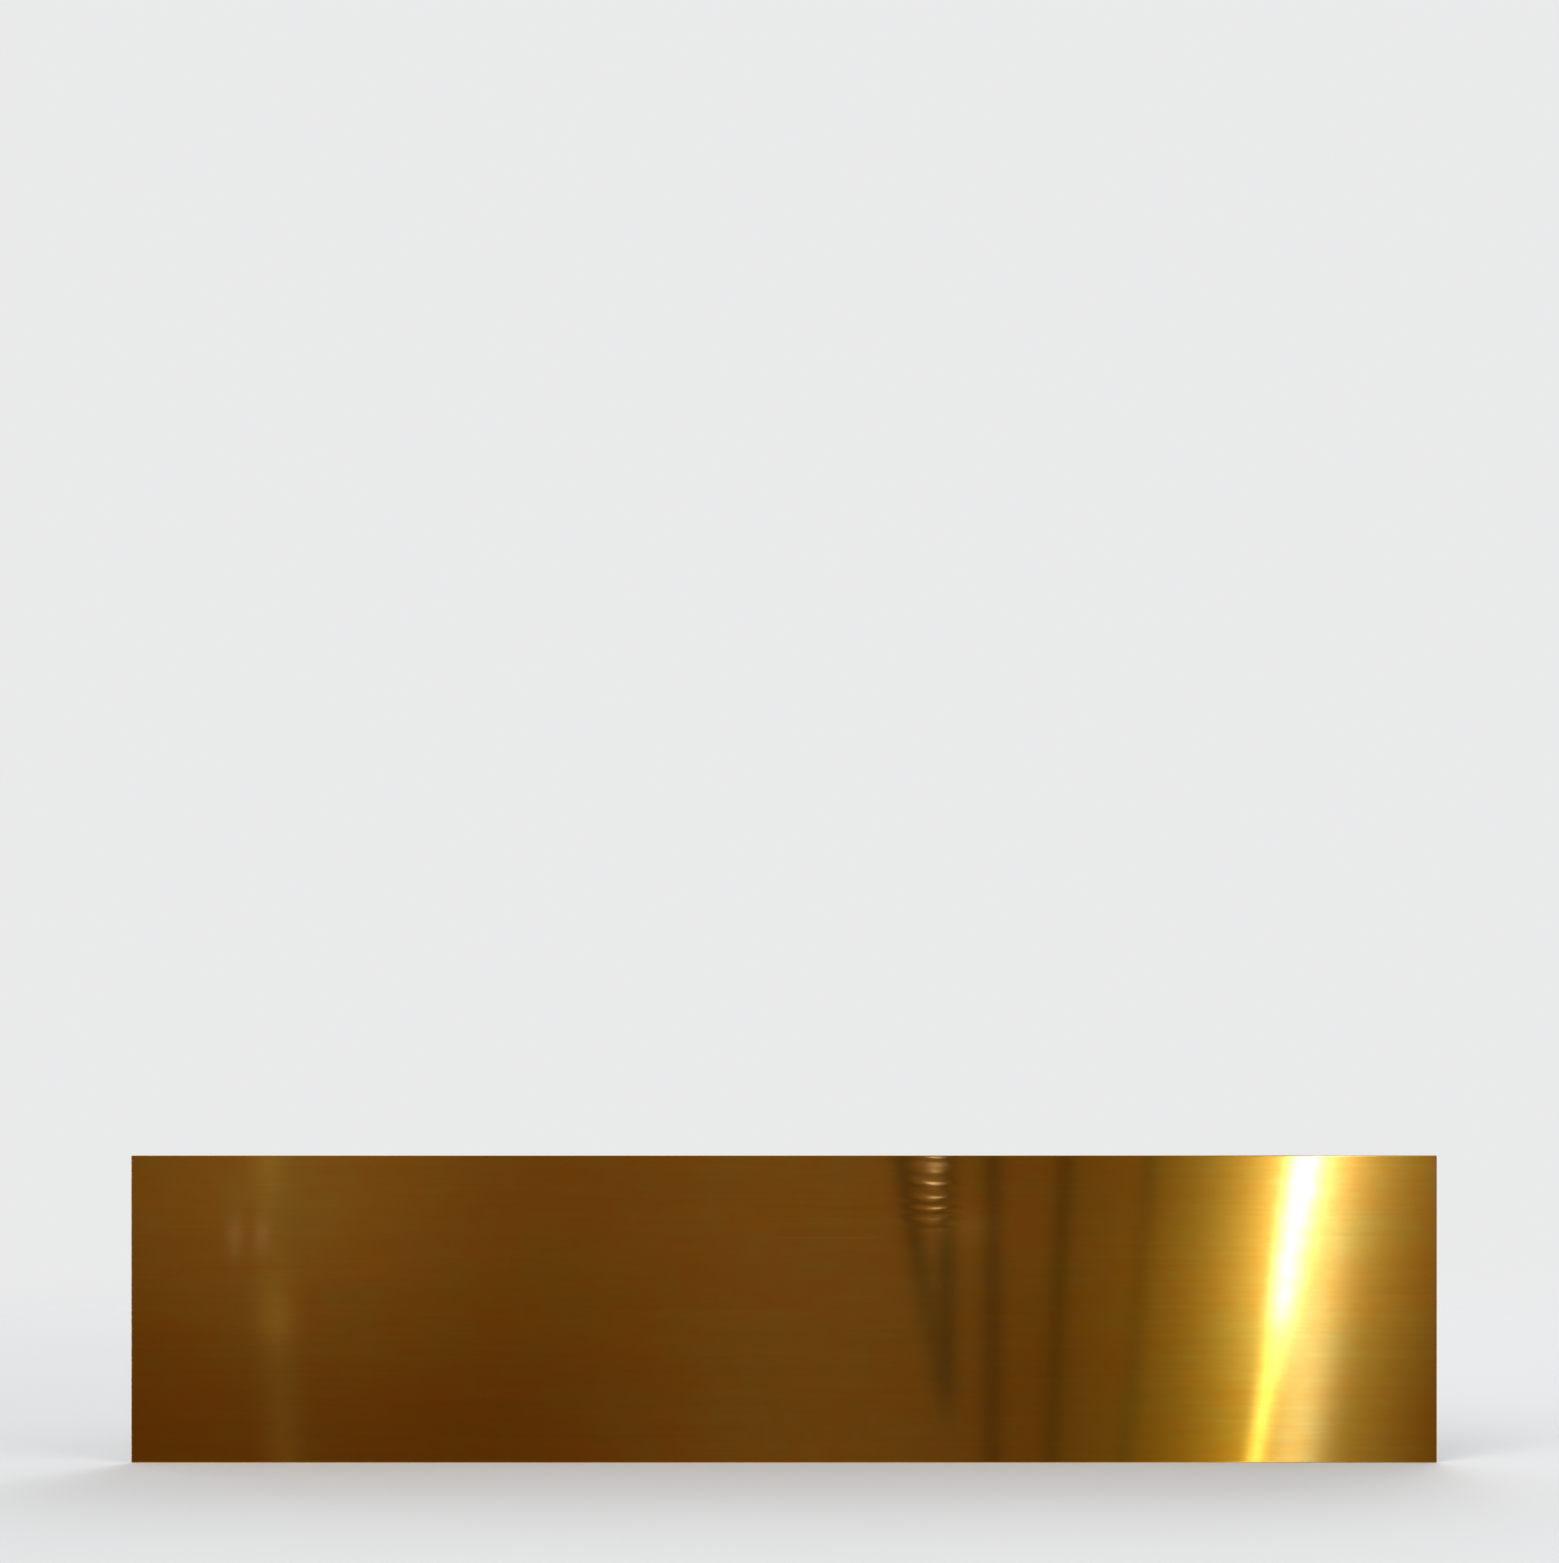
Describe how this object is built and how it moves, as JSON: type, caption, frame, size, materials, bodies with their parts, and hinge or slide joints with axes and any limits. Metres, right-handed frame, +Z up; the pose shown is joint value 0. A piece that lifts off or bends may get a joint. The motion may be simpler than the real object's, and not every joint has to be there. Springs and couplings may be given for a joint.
{
  "type": "kick plate",
  "caption": "Flat rectangular polished brass kick plate for the foot of a door, held on by magnet strips bonded to its back.",
  "frame": {"origin": "centre of the plane that rests on the door, which is the back of the magnet strips", "axes": "+X along the plate, to the right as seen from the front; +Y into the door, so the polished front faces -Y; +Z up"},
  "size_m": [0.8636, 0.0029, 0.2032],
  "materials": {
    "brass": "polished",
    "magnet": "matte",
    "adhesive": "satin"
  },
  "bodies": {
    "root": {"face_plate": "brass", "top_magnet_strip": "magnet", "bottom_magnet_strip": "magnet", "left_end_magnet_strip": "magnet", "right_end_magnet_strip": "magnet", "upper_magnet_strip": "magnet", "middle_magnet_strip": "magnet", "lower_magnet_strip": "magnet", "top_strip_adhesive": "adhesive", "bottom_strip_adhesive": "adhesive", "left_end_strip_adhesive": "adhesive", "right_end_strip_adhesive": "adhesive", "upper_strip_adhesive": "adhesive", "middle_strip_adhesive": "adhesive", "lower_strip_adhesive": "adhesive"}
  },
  "joints": []
}
